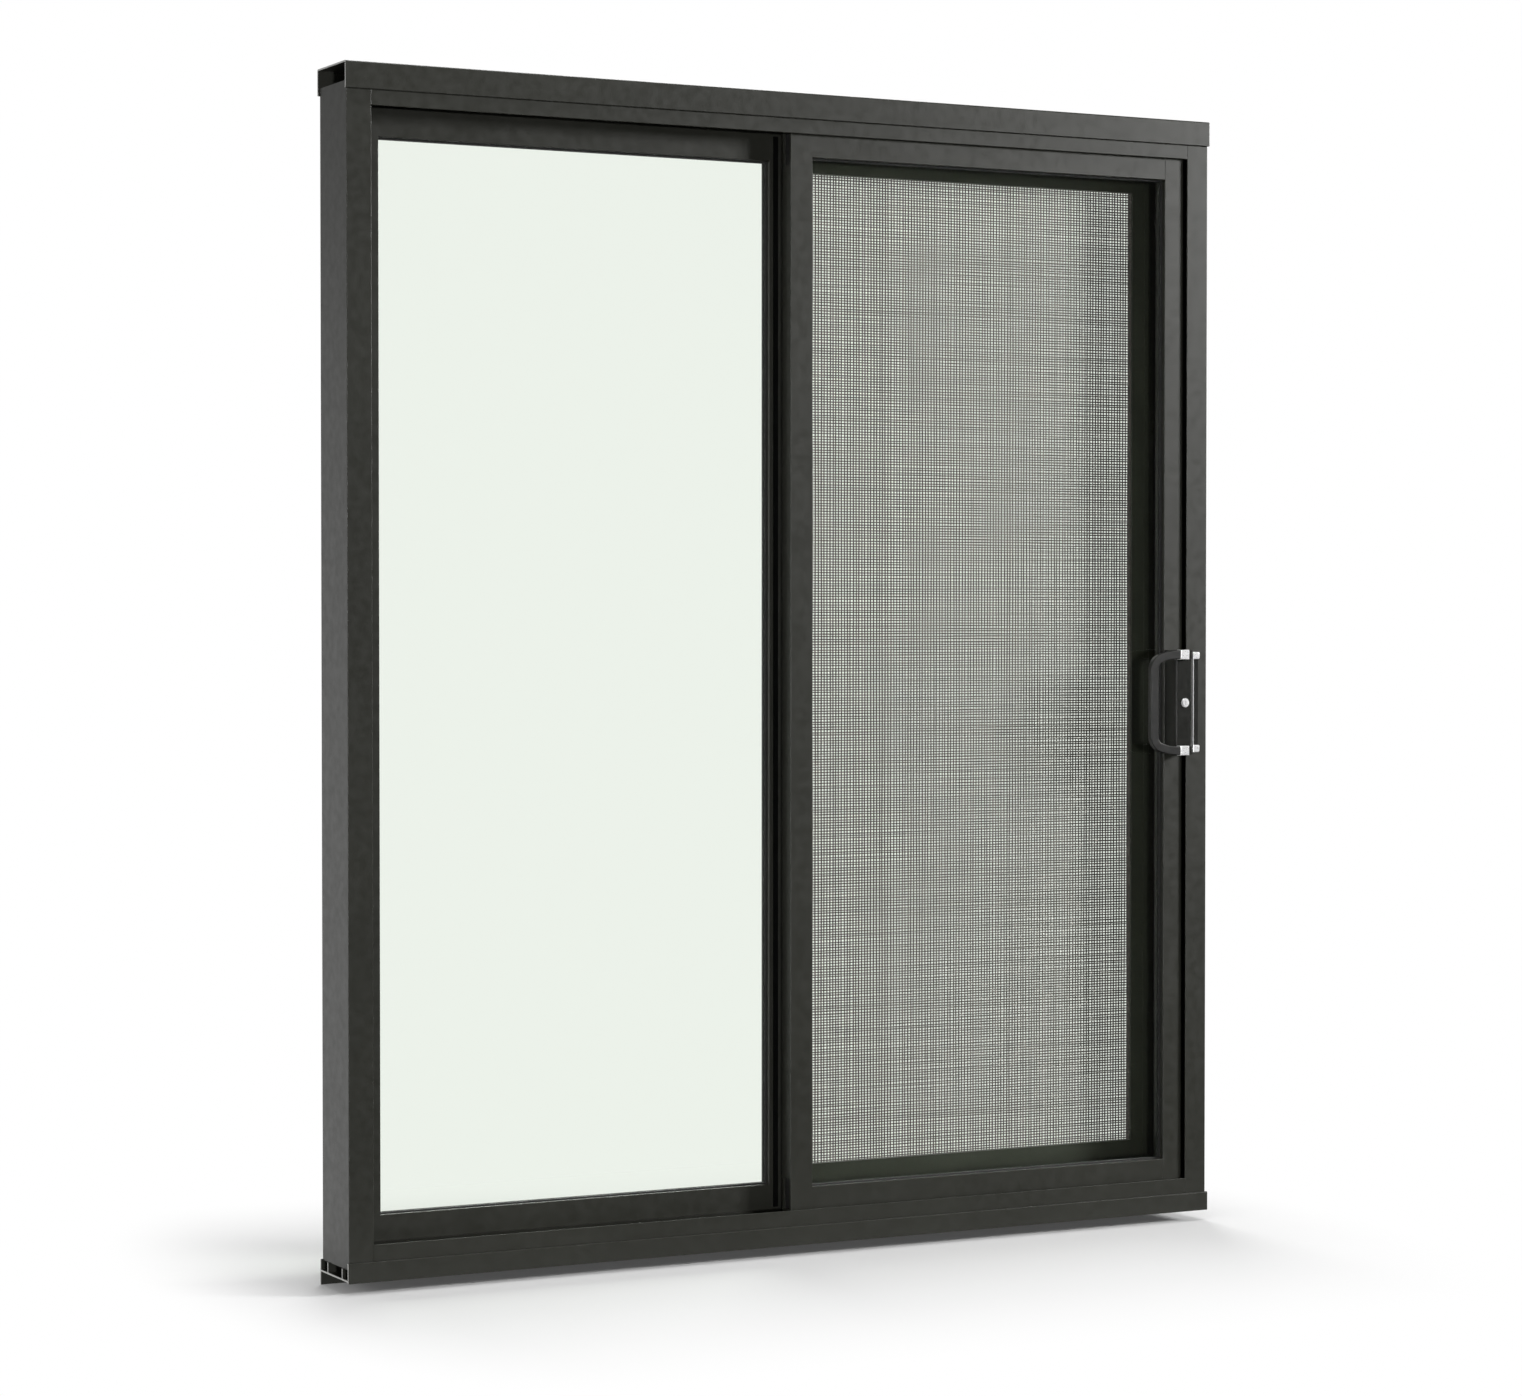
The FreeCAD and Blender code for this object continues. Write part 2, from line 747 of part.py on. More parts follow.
def fixed_panel():
    """The fixed panel, which fills its half of the frame from sill to head."""
    front, depth = "fixed_front", "fixed_depth"
    outer_left = "-(frame_width / 2 - frame_wall)"
    left, right = "fixed_opening_left", "fixed_opening_right"
    low, high = "frame_bottom + sill_wall", "frame_bottom + frame_height - frame_wall"
    sill, head = "fixed_opening_bottom", "fixed_opening_top"
    section = tube_section(outer_left, left, front, depth, "")
    stile = upright("fixed_left_stile", section, low, f"({high}) - ({low})")
    eased(stile, left, front, "", sill, head)
    section = tube_section("fixed_right", right, front, depth, "-")
    stile = upright("fixed_right_stile", section, low, f"({high}) - ({low})")
    eased(stile, right, front, "-", sill, head)
    width = f"{right} - ({left})"
    section = tube_section(low, sill, front, depth, "")
    rail = crosswise("fixed_bottom_rail", flipped(section), left, width)
    rounded(rail, "edge", "edge_rounding", ALONG_X, [(front, sill)])
    section = tube_section(high, head, front, depth, "-")
    rail = crosswise("fixed_top_rail", flipped(section), left, width)
    rounded(rail, "edge", "edge_rounding", ALONG_X, [(front, head)])
    glazing("fixed", left, right, sill, head, front, depth)


def interlock():
    """The strip on the fixed stile: its fin, and the pile beside it that keeps draughts out."""
    seat = "fixed_front - interlock_base"
    corners = [
        ("interlock_left", "fixed_front"),
        ("interlock_left", seat),
        ("interlock_fin", seat),
        ("interlock_fin", "fixed_front - interlock_rise"),
        ("interlock_fin + interlock_base", "fixed_front - interlock_rise"),
        ("interlock_fin + interlock_base", seat),
        ("interlock_right", seat),
        ("interlock_right", "fixed_front"),
    ]
    height = "interlock_top - interlock_bottom"
    upright("interlock_strip", [corners], "interlock_bottom", height)
    pile = rectangle("interlock_fin - pile_width", "interlock_fin", f"{seat} - pile_rise", seat)
    upright("interlock_pile", [pile], "interlock_bottom", height)


# Insect screen


def screen_stile(outer, inner, toward):
    """The section of a screen stile: a tube with two face ridges, and a pile channel outside it.

    Args:
        outer: coordinate of the edge away from the mesh.
        inner: coordinate of the edge beside the mesh.
        toward: "" where the mesh lies on the higher side, "-" where it lies on the lower.
    """
    outline, _ = tube_section(outer, inner, "screen_front", "screen_depth", toward, SCREEN_FIT)
    floor = "screen_front + screen_depth - screen_wall"
    lip = f"{outer} + {toward}pile_channel_lip"
    tube = f"{lip} + {toward}pile_channel_width"
    channel = [(lip, "screen_front"), (lip, floor), (tube, floor), (tube, "screen_front")]
    ridges = []
    for ridge in ("outer_ridge", "inner_ridge"):
        near, far = f"{outer} + {toward}{ridge}", f"{outer} + {toward}{ridge} + {toward}ridge_width"
        crest = "screen_front - ridge_rise"
        ridges += [(near, "screen_front"), (near, crest), (far, crest), (far, "screen_front")]
    near, far = f"{tube} + {toward}screen_wall", f"{inner} - {toward}spline_groove - {toward}screen_wall"
    front = "screen_front + screen_wall"
    chamber = [(near, front), (far, front), (far, floor), (near, floor)]
    return [outline[:1] + channel + ridges + outline[1:], chamber]


def screen_panel():
    """The screen: four tube members, the mesh in their groove, the spline and two rollers."""
    front, depth = "screen_front", "screen_depth"
    left, right = "screen_left + screen_member", "screen_right - screen_member"
    low, high = "screen_bottom + screen_member", "screen_top - screen_member"
    height = "screen_top - screen_bottom"
    section = screen_stile("screen_left", left, "")
    upright("screen_left_stile", section, "screen_bottom", height)
    section = screen_stile("screen_right", right, "-")
    upright("screen_right_stile", section, "screen_bottom", height)
    width = f"{right} - ({left})"
    section = open_section("screen_bottom", low, front, depth, "", SCREEN_FIT)
    crosswise("screen_bottom_rail", flipped(section), left, width)
    section = tube_section("screen_top", high, front, depth, "-", SCREEN_FIT)
    crosswise("screen_top_rail", flipped(section), left, width)

    def grown(by):
        return rectangle(f"{left} - {by}", f"{right} + {by}", f"{low} - {by}", f"{high} + {by}")

    groove_front = f"{SCREEN_MIDDLE} - (mesh_thickness + spline_width) / 2"
    facing("screen_mesh", [grown("mesh_bite")], groove_front, "mesh_thickness")
    ring = [grown("spline_groove"), grown("-spline_sight")]
    facing("screen_spline", ring, f"{groove_front} + mesh_thickness", "spline_width")
    screen_rollers(left, right, low)


def screen_rollers(left, right, low):
    """Two small carriages inside the bottom rail, with wheels on the screen track."""
    bottom, floor = "screen_bottom + screen_wall", f"{low} - spline_groove - screen_wall"
    front, back = "screen_front + screen_wall", "screen_front + screen_depth - screen_wall"
    axle = "frame_bottom + screen_track_height + roller_gap + screen_wheel_radius"
    wheel_front, width = f"{SCREEN_MIDDLE} - screen_wheel_width / 2", "screen_wheel_width"
    pieces = []
    starts = (("left", f"{left} + guide_inset"), ("right", f"{right} - guide_inset - guide_length"))
    for side, start in starts:
        end = f"{start} + guide_length"
        pieces.append(block(f"screen_carriage_{side}", start, end, bottom, floor, front, back))
        middle = f"{start} + guide_length / 2"
        radius = "screen_wheel_radius"
        pieces.append(wheel(f"screen_wheel_{side}", middle, axle, radius, wheel_front, width))
    joined("screen_rollers", pieces)


# Lock and pull

LOCK_FRONT = "sash_front - lock_depth"
TOP_ARM = "pull_top - pull_width / 2"
BOTTOM_ARM = "pull_bottom + pull_width / 2"
GRIP = "pull_left + pull_width / 2"


def lock_housing():
    """The surface lock's housing, with a boss behind each end of the pull and the lock's bore."""
    outline = rectangle("lock_left", "lock_right", "pull_bottom", "pull_top")
    body = facing("lock_housing", [outline], LOCK_FRONT, "lock_depth")
    bosses = [
        rectangle("collar_right", "pull_right", "pull_bottom", "pull_bottom + pull_width"),
        rectangle("collar_right", "pull_right", "pull_top - pull_width", "pull_top"),
    ]
    sketch = outline_sketch(body, "boss_outline", "XZ_Plane", f"-({LOCK_FRONT})", bosses)
    pad = body.newObject("PartDesign::Pad", "bosses")
    pad.Profile = sketch
    pad.setExpression("Length", named("pull_depth"))
    rounded(body, "left_edge", "lock_left_rounding", ALONG_Z, [("lock_left", LOCK_FRONT)])
    rounded(body, "right_edge", "edge_rounding", ALONG_Z, [("lock_right", LOCK_FRONT)])
    bore = [("cylinder_x", "cylinder_z", "cylinder_radius + plug_clearance")]
    pocket(body, "bore", "XZ_Plane", bore, f"-({LOCK_FRONT})", "cylinder_length")


def lock_cylinder():
    """The chrome barrel of the lock and the plug that turns in it, with its keyway."""
    front = f"{LOCK_FRONT} - cylinder_proud"
    length = "cylinder_length + cylinder_proud"
    ring = [
        ("cylinder_x", "cylinder_z", "cylinder_radius"),
        ("cylinder_x", "cylinder_z", "plug_radius + plug_clearance"),
    ]
    barrel = facing("lock_cylinder", ring, front, length)
    eased_face(barrel, "rim", "fine_rounding", front, "flat")
    plug_front = f"{front} - plug_proud"
    plug = facing("lock_plug", [("cylinder_x", "cylinder_z", "plug_radius")], plug_front, length)
    keyway = rectangle(
        "cylinder_x - keyway_width / 2",
        "cylinder_x + keyway_width / 2",
        "cylinder_z - keyway_height / 2",
        "cylinder_z + keyway_height / 2",
    )
    pocket(plug, "keyway", "XZ_Plane", [keyway], f"-({plug_front})", "keyway_depth")


def pull_path(body):
    """The centreline of the pull: arm, wide sweep, tight bend and grip, then the same back."""
    path = flat_sketch(body, "pull_path", "XZ_Plane", f"-({LOCK_FRONT} - pull_depth / 2)")
    sweep = math.radians(amount("pull_sweep_angle"))
    wide, tight = amount("pull_sweep_radius"), amount("pull_bend_radius")
    start_x, grip_x = amount("collar_left"), amount(GRIP)
    arms = []
    for side, arm in ((1, TOP_ARM), (-1, BOTTOM_ARM)):
        bend_z = amount(arm) - side * (wide - (wide - tight) * math.cos(sweep))
        bend_x = grip_x + tight
        sweep_x = bend_x + (wide - tight) * math.sin(sweep)
        sweep_z = amount(arm) - side * wide
        line = Part.LineSegment(
            FreeCAD.Vector(start_x, amount(arm), 0), FreeCAD.Vector(sweep_x, amount(arm), 0)
        )
        turned = math.pi / 2 + sweep
        wide_arc = arc((sweep_x, sweep_z), wide, side, math.pi / 2, turned)
        tight_arc = arc((bend_x, bend_z), tight, side, turned, math.pi)
        arms.append((side, arm, line, wide_arc, tight_arc, bend_z))
    top, bottom = arms
    grip = Part.LineSegment(FreeCAD.Vector(grip_x, top[5], 0), FreeCAD.Vector(grip_x, bottom[5], 0))
    grip_index = path.addGeometry(grip)
    path.addConstraint(Sketcher.Constraint("Vertical", grip_index))
    hold(path, "DistanceX", (grip_index, 1), GRIP)
    for side, arm, line, wide_arc, tight_arc, _ in arms:
        arm_index, wide_index, tight_index = (
            path.addGeometry(piece) for piece in (line, wide_arc, tight_arc)
        )
        # An arc's first point is the one at its lower angle, so the two arms use opposite ends.
        near, far = (1, 2) if side > 0 else (2, 1)
        grip_end = 1 if side > 0 else 2
        path.addConstraint(Sketcher.Constraint("Horizontal", arm_index))
        path.addConstraint(Sketcher.Constraint("Tangent", arm_index, 2, wide_index, near))
        path.addConstraint(Sketcher.Constraint("Tangent", wide_index, far, tight_index, near))
        path.addConstraint(Sketcher.Constraint("Tangent", tight_index, far, grip_index, grip_end))
        hold(path, "DistanceX", (arm_index, 1), "collar_left")
        hold(path, "DistanceY", (arm_index, 1), arm)
        hold(path, "Radius", (wide_index,), "pull_sweep_radius")
        hold(path, "Radius", (tight_index,), "pull_bend_radius")
        turn = f"{GRIP} + pull_bend_radius - pull_bend_radius * sin(pull_sweep_angle * 1 deg)"
        hold(path, "DistanceX", (tight_index, near), turn)
    return path


def arc(centre, radius, side, start, end):
    """An arc in the sketch plane, mirrored below the X axis for the lower arm."""
    low, high = sorted((side * start, side * end))
    circle = Part.Circle(FreeCAD.Vector(*centre, 0), FreeCAD.Vector(0, 0, 1), radius)
    return Part.ArcOfCircle(circle, low, high)


def pull_handle():
    """The D-shaped pull: one flat bar swept along its path, with its long edges rounded."""
    body = doc.addObject("PartDesign::Body", "pull_handle")
    path = pull_path(body)
    back = LOCK_FRONT
    section = rectangle(
        f"{back} - pull_depth", back, f"{TOP_ARM} - pull_width / 2", f"{TOP_ARM} + pull_width / 2"
    )
    profile = outline_sketch(body, "pull_section", "YZ_Plane", "collar_left", [section])
    doc.recompute()
    bar = body.newObject("PartDesign::AdditivePipe", "pull_bar")
    bar.Profile = profile
    bar.Spine = path
    doc.recompute()
    start_x = amount("collar_left")
    long_edges = []
    for number, edge in enumerate(bar.Shape.Edges, start=1):
        if any(abs(vertex.X - start_x) > NEAR for vertex in edge.Vertexes):
            if abs(edge.tangentAt(edge.FirstParameter).y) < NEAR:
                long_edges.append(f"Edge{number}")
    rounding = body.newObject("PartDesign::Fillet", "pull_rounding")
    rounding.Base = (bar, long_edges)
    rounding.setExpression("Radius", named("pull_rounding"))
    kept("pull_handle", body)


def collars():
    """A chrome collar at each end of the pull."""
    front, depth = f"{LOCK_FRONT} - pull_depth - collar_proud", "pull_depth + collar_proud"
    top = ("pull_top - pull_width - collar_proud", "pull_top + collar_proud")
    bottom = ("pull_bottom - collar_proud", "pull_bottom + pull_width + collar_proud")
    for label, (low, high) in (("pull_top_collar", top), ("pull_bottom_collar", bottom)):
        outline = rectangle("collar_left", "collar_right", low, high)
        body = facing(label, [outline], front, depth)
        eased_face(body, "rim", "corner_rounding", front)


def strike():
    """The strike on the face of the right jamb: plate, bright leading edge and two end caps."""
    seam = "strike_left + strike_edge_width"
    outline = rectangle(seam, "strike_right", "strike_bottom", "strike_top")
    plate_front = f"{FRONT} - strike_depth"
    plate = facing("strike_plate", [outline], plate_front, "strike_depth")
    rounded(plate, "edges", "corner_rounding", ALONG_Z, [("strike_right", plate_front)])
    outline = rectangle("strike_left", seam, "strike_bottom", "strike_top")
    facing("strike_edge", [outline], f"{FRONT} - strike_edge_depth", "strike_edge_depth")
    front = f"{FRONT} - strike_cap_depth"
    left, right = "strike_left - collar_proud", "strike_right + strike_cap_overlap"
    top = ("strike_top", "strike_top + strike_cap")
    bottom = ("strike_bottom - strike_cap", "strike_bottom")
    for label, (low, high) in (("strike_top_cap", top), ("strike_bottom_cap", bottom)):
        body = facing(label, [rectangle(left, right, low, high)], front, "strike_cap_depth")
        rounded(body, "corners", "strike_cap_rounding", ALONG_Y, [(right, low), (right, high)])
        eased_face(body, "rim", "corner_rounding", front)


frame_members()
head_receptor()
sub_sill()
sash_panel()
sash_hardware()
fixed_panel()
interlock()
screen_panel()
lock_housing()
lock_cylinder()
pull_handle()
collars()
strike()

doc.recompute()
for item in doc.Objects:
    if "Invalid" in item.State or "Error" in item.State:
        raise RuntimeError(f"{item.Label} failed: {item.State}")

os.makedirs("parts", exist_ok=True)
for body in sub_parts:
    shape = body.Shape
    if shape.isNull() or not shape.isValid():
        raise RuntimeError(f"{body.Label} has no valid shape")
    shape.exportStep(step_file_name(body))
    box = shape.BoundBox
    print(
        f"{body.Label:20s} x {box.XMin:8.1f} {box.XMax:8.1f} y {box.YMin:7.1f} {box.YMax:7.1f}"
        f" z {box.ZMin:7.1f} {box.ZMax:7.1f} volume {shape.Volume / 1000:9.1f} cm3"
    )
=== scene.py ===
"""Looks of a glass sliding patio door: finishes, woven insect screen, studio and camera.

Lengths are in metres. +X runs to the right as seen from the room, +Y out through the door, +Z up,
and the origin is the middle of the sub sill's seat.
"""

import logging
import math
import random
from dataclasses import dataclass, field
from enum import Enum

import bpy
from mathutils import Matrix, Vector


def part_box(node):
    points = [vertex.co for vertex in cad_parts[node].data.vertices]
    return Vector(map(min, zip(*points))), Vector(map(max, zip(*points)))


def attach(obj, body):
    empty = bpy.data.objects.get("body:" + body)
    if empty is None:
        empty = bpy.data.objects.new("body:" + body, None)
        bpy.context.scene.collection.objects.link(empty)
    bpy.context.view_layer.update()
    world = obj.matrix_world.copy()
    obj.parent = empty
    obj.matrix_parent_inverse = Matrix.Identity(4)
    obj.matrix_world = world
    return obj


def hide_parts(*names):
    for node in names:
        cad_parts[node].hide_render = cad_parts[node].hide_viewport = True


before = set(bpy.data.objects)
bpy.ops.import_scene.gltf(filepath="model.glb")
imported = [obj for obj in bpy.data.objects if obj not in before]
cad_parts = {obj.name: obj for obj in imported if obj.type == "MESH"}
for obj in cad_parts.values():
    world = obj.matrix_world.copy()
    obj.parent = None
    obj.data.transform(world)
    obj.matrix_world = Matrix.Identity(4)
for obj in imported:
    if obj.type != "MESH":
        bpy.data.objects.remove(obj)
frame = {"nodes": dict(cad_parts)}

LOG = logging.getLogger("patio_door")
Colour = tuple[float, float, float]
Point = tuple[float, float, float]
Span = tuple[float, float]
Socket = bpy.types.NodeSocket
WHOLE: Span = (0.0, 1.0)
NOISE_MIDDLE: Span = (0.3, 0.7)


class Run(Enum):
    """The way a thread of the screen runs."""

    UP = "up"
    ACROSS = "across"


class Look(Enum):
    """The finishes that the door's pieces take."""

    COAT = "powder coat"
    CUT_COAT = "powder coat with bare sawn ends"
    PANE = "float glass"
    SEAL = "glazing gasket"
    SPLINE = "screen spline"
    # The pile's finish is partly painted shade: its near-perfect black stands in for the shade of
    # the interlock channel.
    PILE_AS_PAINTED_SHADE = "pile weatherstrip"
    CHROME = "bright chrome"
    GRIP = "satin grip"
    LOCK = "black lock body"
    STEEL = "bright steel"
    NYLON = "black nylon"
    YARN = "screen yarn"


@dataclass(frozen=True)
class Pattern:
    """A noise: its features to a metre, its finer octaves and its density along each axis."""

    scale: float
    detail: float = 2.0
    stretch: Point = (1.0, 1.0, 1.0)


@dataclass(frozen=True)
class Relief:
    """How a fine relief shows: the share of it that shows and its height in metres."""

    strength: float
    depth: float


class Graph:
    """A node tree, with short calls for what the finishes and the studio use."""

    def __init__(self, tree: bpy.types.NodeTree, output: str, place: str) -> None:
        """Empties a node tree and gives it an output and coordinates.

        Args:
            tree: the node tree of a material or of the world.
            output: the output node's type name.
            place: the name of the coordinates that patterns follow.
        """
        self.tree = tree
        tree.nodes.clear()
        self.output = self.node(output)
        self.place = self.node("ShaderNodeTexCoord").outputs[place]

    def node(self, kind: str, **settings: object) -> bpy.types.Node:
        """Adds one node.

        Args:
            kind: the node's type name.
            settings: the node's own properties.

        Returns:
            The new node.
        """
        made = self.tree.nodes.new(kind)
        for name, value in settings.items():
            setattr(made, name, value)
        return made

    def put(self, value: float | Colour | Socket, end: Socket) -> None:
        """Links a socket to an input, or sets the input to a plain number or colour.

        Args:
            value: a socket, a number or a colour.
            end: the input.
        """
        if isinstance(value, Socket):
            self.tree.links.new(value, end)
        elif end.type == "RGBA":
            end.default_value = (*value, 1)
        else:
            end.default_value = value

    def rays(self) -> bpy.types.NodeOutputs:
        """What kind of ray looks at the surface."""
        return self.node("ShaderNodeLightPath").outputs

    def coordinate(self, vector: Socket, axis: str) -> Socket:
        """One of a vector's coordinates.

        Args:
            vector: the vector.
            axis: X, Y or Z.

        Returns:
            The coordinate.
        """
        split = self.node("ShaderNodeSeparateXYZ")
        self.put(vector, split.inputs["Vector"])
        return split.outputs[axis]

    def calculate(self, operation: str, first: float | Socket, second: float | Socket) -> Socket:
        """Adds one sum of two numbers.

        Args:
            operation: the math node's operation.
            first: a number or a socket.
            second: a number or a socket.

        Returns:
            The result.
        """
        made = self.node("ShaderNodeMath", operation=operation)
        self.put(first, made.inputs[0])
        self.put(second, made.inputs[1])
        return made.outputs[0]

    def vectors(self, operation: str, first: Socket, second: Point) -> bpy.types.NodeOutputs:
        """Adds one sum of two vectors.

        Args:
            operation: the vector math node's operation.
            first: a vector's socket.
            second: a plain vector, which a length or an absolute value has no use for.

        Returns:
            The results: Vector, or Value where the operation gives a number.
        """
        made = self.node("ShaderNodeVectorMath", operation=operation)
        self.put(first, made.inputs[0])
        self.put(second, made.inputs[1])
        return made.outputs

    def ramp(
        self, source: Socket, start: Span, ends: tuple[float | Socket, float | Socket]
    ) -> Socket:
        """Adds a smooth step between two levels.

        Args:
            source: the value that the step follows.
            start: the values where the step begins and ends.
            ends: the levels before and after it.

        Returns:
            The level.
        """
        made = self.node("ShaderNodeMapRange", interpolation_type="SMOOTHSTEP")
        names = ("Value", "From Min", "From Max", "To Min", "To Max")
        for name, value in zip(names, (source, *start, *ends)):
            self.put(value, made.inputs[name])
        return made.outputs["Result"]

    def glow(self, strength: Socket) -> Socket:
        """A shader that glows white.

        Args:
            strength: how bright it is, where 1 is white.

        Returns:
            The shader.
        """
        made = self.node("ShaderNodeEmission")
        self.put(strength, made.inputs["Strength"])
        return made.outputs["Emission"]

    def choose(self, share: Socket, first: Socket, second: Socket) -> Socket:
        """Mixes two shaders.

        Args:
            share: 0 gives the first shader and 1 the second.
            first: a shader.
            second: a shader.

        Returns:
            The mixed shader.
        """
        made = self.node("ShaderNodeMixShader")
        self.put(share, made.inputs["Fac"])
        self.put(first, made.inputs[1])
        self.put(second, made.inputs[2])
        return made.outputs["Shader"]


class Shading(Graph):
    """One material's node tree, whose patterns are fixed to the piece."""

    def __init__(self, name: str) -> None:
        """Starts a material with nothing but an output and the piece's coordinates.

        Args:
            name: the material's name.
        """
        self.material = bpy.data.materials.new(name)
        self.material.use_nodes = True
        super().__init__(self.material.node_tree, "ShaderNodeOutputMaterial", "Object")

    def noise(self, pattern: Pattern) -> Socket:
        """A noise pattern fixed to the piece.

        Args:
            pattern: the noise's sizes.

        Returns:
            The noise's value, from 0 to 1.
        """
        mapping = self.node("ShaderNodeMapping")
        mapping.inputs["Scale"].default_value = pattern.stretch
        self.put(self.place, mapping.inputs["Vector"])
        made = self.node("ShaderNodeTexNoise")
        made.inputs["Scale"].default_value = pattern.scale
        made.inputs["Detail"].default_value = pattern.detail
        self.put(mapping.outputs["Vector"], made.inputs["Vector"])
        return made.outputs["Fac"]

    def spread(self, source: Socket, ends: Span) -> Socket:
        """Maps the middle of a noise to a range of numbers.

        Args:
            source: the noise's value.
            ends: the results at the two ends of the noise's middle.

        Returns:
            The mapped value.
        """
        made = self.node("ShaderNodeMapRange")
        names = ("Value", "From Min", "From Max", "To Min", "To Max")
        for name, value in zip(names, (source, *NOISE_MIDDLE, *ends)):
            self.put(value, made.inputs[name])
        return made.outputs["Result"]

    def blend(
        self,
        share: float | Socket,
        first: Colour | Socket,
        second: Colour | Socket,
        kind: str = "MIX",
    ) -> Socket:
        """Mixes two colours.

        Args:
            share: 0 gives the first colour and 1 the second, or the product.
            first: a colour or a socket.
            second: a colour or a socket.
            kind: MIX, or MULTIPLY for the product of the two.

        Returns:
            The mixed colour.
        """
        made = self.node("ShaderNodeMix", data_type="RGBA", blend_type=kind)
        self.put(share, made.inputs["Factor"])
        for name, colour in (("A", first), ("B", second)):
            end = next(s for s in made.inputs if s.name == name and s.type == "RGBA")
            self.put(colour, end)
        return next(s for s in made.outputs if s.type == "RGBA")

    def beyond(self, axis: str, limit: float) -> Socket:
        """A mask of what lies further than a limit from the middle on one axis.

        Args:
            axis: X, Y or Z.
            limit: distance from the middle, in metres.

        Returns:
            1 past the limit and 0 inside it.
        """
        distance = self.calculate("ABSOLUTE", self.coordinate(self.place, axis), 0.0)
        return self.calculate("GREATER_THAN", distance, limit)

    def relief(self, height: Socket, relief: Relief) -> Socket:
        """A bumpy normal from a height.

        Args:
            height: the value that rises and falls.
            relief: how the bumps show.

        Returns:
            The normal.
        """
        made = self.node("ShaderNodeBump")
        made.inputs["Strength"].default_value = relief.strength
        made.inputs["Distance"].default_value = relief.depth
        self.put(height, made.inputs["Height"])
        return made.outputs["Normal"]

    def surface(self, **numbers: float) -> bpy.types.Node:
        """The main shader, wired to the output.

        Args:
            numbers: plain socket values, with underscores for spaces.

        Returns:
            The shader node.
        """
        made = self.node("ShaderNodeBsdfPrincipled")
        for name, value in numbers.items():
            made.inputs[name.replace("_", " ")].default_value = value
        self.put(made.outputs["BSDF"], self.output.inputs["Surface"])
        return made


@dataclass(frozen=True)
class PowderCoat:
    """Fine-textured matt charcoal powder coat, with bare metal where a bar end is sawn."""

    name: str = "charcoal_powder_coat"
    dark: Colour = (0.0158, 0.0162, 0.0118)
    light: Colour = (0.0196, 0.0201, 0.0150)
    cloud: Pattern = Pattern(5.0, 4.0)
    speckle: Pattern = Pattern(1500.0, 1.0)
    speckle_range: Span = (0.86, 1.14)
    sheen: Pattern = Pattern(60.0, 3.0)
    rough: Span = (0.35, 0.43)
    peel: Pattern = Pattern(1500.0)
    peel_relief: Relief = Relief(0.25, 0.00012)
    sawn_at: float | None = None
    bare_dark: Colour = (0.5, 0.5, 0.48)
    bare_light: Colour = (0.62, 0.62, 0.60)
    saw_marks: Pattern = Pattern(420.0, 2.0, (1.0, 0.2, 3.0))
    saw_range: Span = (0.8, 1.15)

    def make(self) -> bpy.types.Material:
        """Builds the coat: cloudy colour, orange-peel gloss and a fine grain."""
        shade = Shading(self.name)
        body = shade.surface()
        cloud = shade.spread(shade.noise(self.cloud), WHOLE)
        colour = shade.blend(cloud, self.dark, self.light)
        speckle = shade.spread(shade.noise(self.speckle), self.speckle_range)
        colour = shade.blend(1.0, colour, speckle, "MULTIPLY")
        if self.sawn_at is not None:
            sawn = shade.beyond("X", self.sawn_at)
            marks = shade.spread(shade.noise(self.saw_marks), self.saw_range)
            metal = shade.blend(marks, self.bare_dark, self.bare_light)
            colour = shade.blend(sawn, colour, metal)
            shade.put(sawn, body.inputs["Metallic"])
        shade.put(colour, body.inputs["Base Color"])
        gloss = shade.spread(shade.noise(self.sheen), self.rough)
        shade.put(gloss, body.inputs["Roughness"])
        peel = shade.noise(self.peel)
        shade.put(shade.relief(peel, self.peel_relief), body.inputs["Normal"])
        return shade.material


@dataclass(frozen=True)
class FloatGlass:
    """Clear float glass with a faint green body colour, which lets the lamps through."""

    name: str = "clear_float_glass"
    tint: Colour = (0.91, 0.96, 0.89)
    index: float = 1.5
    draw_waves: Pattern = Pattern(1.6, 1.0, (1.0, 1.0, 0.4))
    wave_relief: Relief = Relief(0.02, 0.001)

    def make(self) -> bpy.types.Material:
        """Builds the glass: smooth, with the slow waves of a drawn sheet."""
        shade = Shading(self.name)
        body = shade.surface(Roughness=0.0, IOR=self.index, Transmission_Weight=1.0)
        shade.put(self.tint, body.inputs["Base Color"])
        waves = shade.noise(self.draw_waves)
        shade.put(shade.relief(waves, self.wave_relief), body.inputs["Normal"])
        through = shade.node("ShaderNodeBsdfTransparent")
        one_face = tuple(math.sqrt(part) for part in self.tint)
        shade.put(one_face, through.inputs["Color"])
        rays = shade.rays()
        lamp = shade.calculate("MAXIMUM", rays["Is Shadow Ray"], rays["Is Diffuse Ray"])
        mixed = shade.choose(lamp, body.outputs["BSDF"], through.outputs["BSDF"])
        shade.put(mixed, shade.output.inputs["Surface"])
        return shade.material


